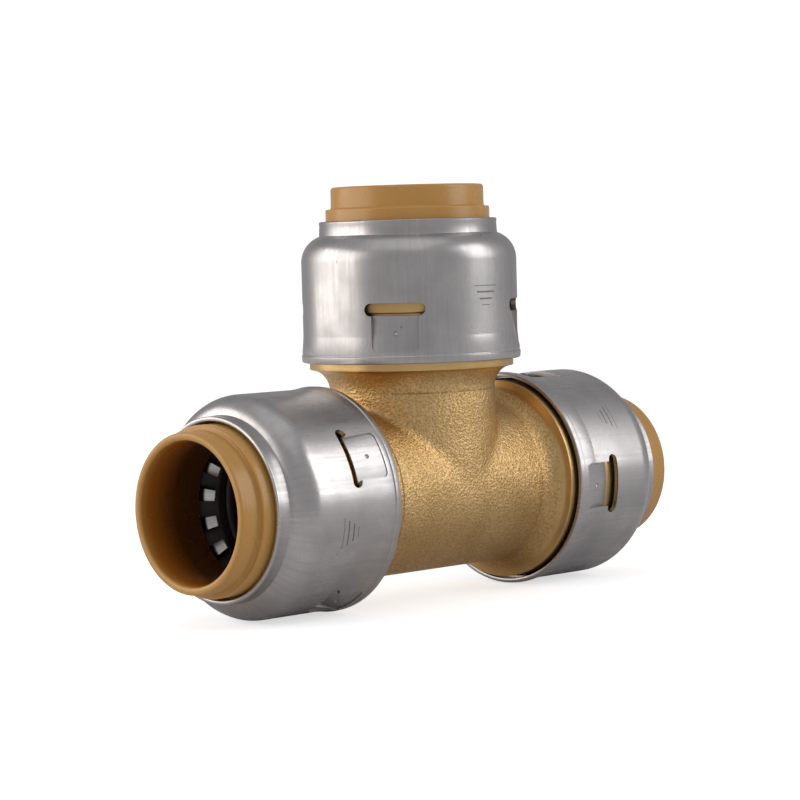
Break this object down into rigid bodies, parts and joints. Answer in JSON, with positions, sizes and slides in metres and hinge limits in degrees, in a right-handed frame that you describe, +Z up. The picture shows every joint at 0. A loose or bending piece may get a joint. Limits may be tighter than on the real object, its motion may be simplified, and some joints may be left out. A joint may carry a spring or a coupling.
{
  "type": "push to connect tee fitting",
  "caption": "Brass push to connect tee with stainless caps and tan release collars, joining tubes of one size without tools or solder.",
  "frame": {"origin": "below the middle of the tee, where the ports' axes meet, at the height of the caps' lowest edges", "axes": "+X along the run towards the right port, +Y across, +Z up along the branch port"},
  "size_m": [0.1014, 0.0366, 0.069],
  "materials": {
    "forged_brass": "shot-blasted forging, machined rims",
    "drawn_stainless": "tumbled, satin",
    "spring_stainless": "bright rolled strip",
    "tan_acetal": "moulded, slightly see-through, semi-gloss",
    "black_plastic": "moulded",
    "seal_rubber": "greased rubber"
  },
  "bodies": {
    "housing": {"tee_body": "forged_brass", "left_cap": "drawn_stainless", "left_seal_protector": "black_plastic", "left_o_ring": "seal_rubber", "right_cap": "drawn_stainless", "right_seal_protector": "black_plastic", "right_o_ring": "seal_rubber", "branch_cap": "drawn_stainless", "branch_seal_protector": "black_plastic", "branch_o_ring": "seal_rubber"},
    "left_grip": {"left_grab_ring": "spring_stainless"},
    "left_release": {"left_release_collar": "tan_acetal"},
    "right_grip": {"right_grab_ring": "spring_stainless"},
    "right_release": {"right_release_collar": "tan_acetal"},
    "branch_grip": {"branch_grab_ring": "spring_stainless"},
    "branch_release": {"branch_release_collar": "tan_acetal"}
  },
  "joints": [
    {"name": "left_grip_spin", "type": "hinge", "parent": "housing", "child": "left_grip", "pos_m": [0, 0, 0.01835], "axis": [-1, 0, 0], "continuous": true},
    {"name": "left_collar_press", "type": "slide", "parent": "left_grip", "child": "left_release", "axis": [1, 0, 0], "range_m": [0, 0.002], "stiffness_N_per_m": 3000, "springref_m": -0.0005, "deforming": ["left_grab_ring"]},
    {"name": "right_grip_spin", "type": "hinge", "parent": "housing", "child": "right_grip", "pos_m": [0, 0, 0.01835], "axis": [1, 0, 0], "continuous": true},
    {"name": "right_collar_press", "type": "slide", "parent": "right_grip", "child": "right_release", "axis": [-1, 0, 0], "range_m": [0, 0.002], "stiffness_N_per_m": 3000, "springref_m": -0.0005, "deforming": ["right_grab_ring"]},
    {"name": "branch_grip_spin", "type": "hinge", "parent": "housing", "child": "branch_grip", "pos_m": [0, 0, 0.01835], "axis": [0, 0, 1], "continuous": true},
    {"name": "branch_collar_press", "type": "slide", "parent": "branch_grip", "child": "branch_release", "axis": [0, 0, -1], "range_m": [0, 0.002], "stiffness_N_per_m": 3000, "springref_m": -0.0005, "deforming": ["branch_grab_ring"]}
  ]
}
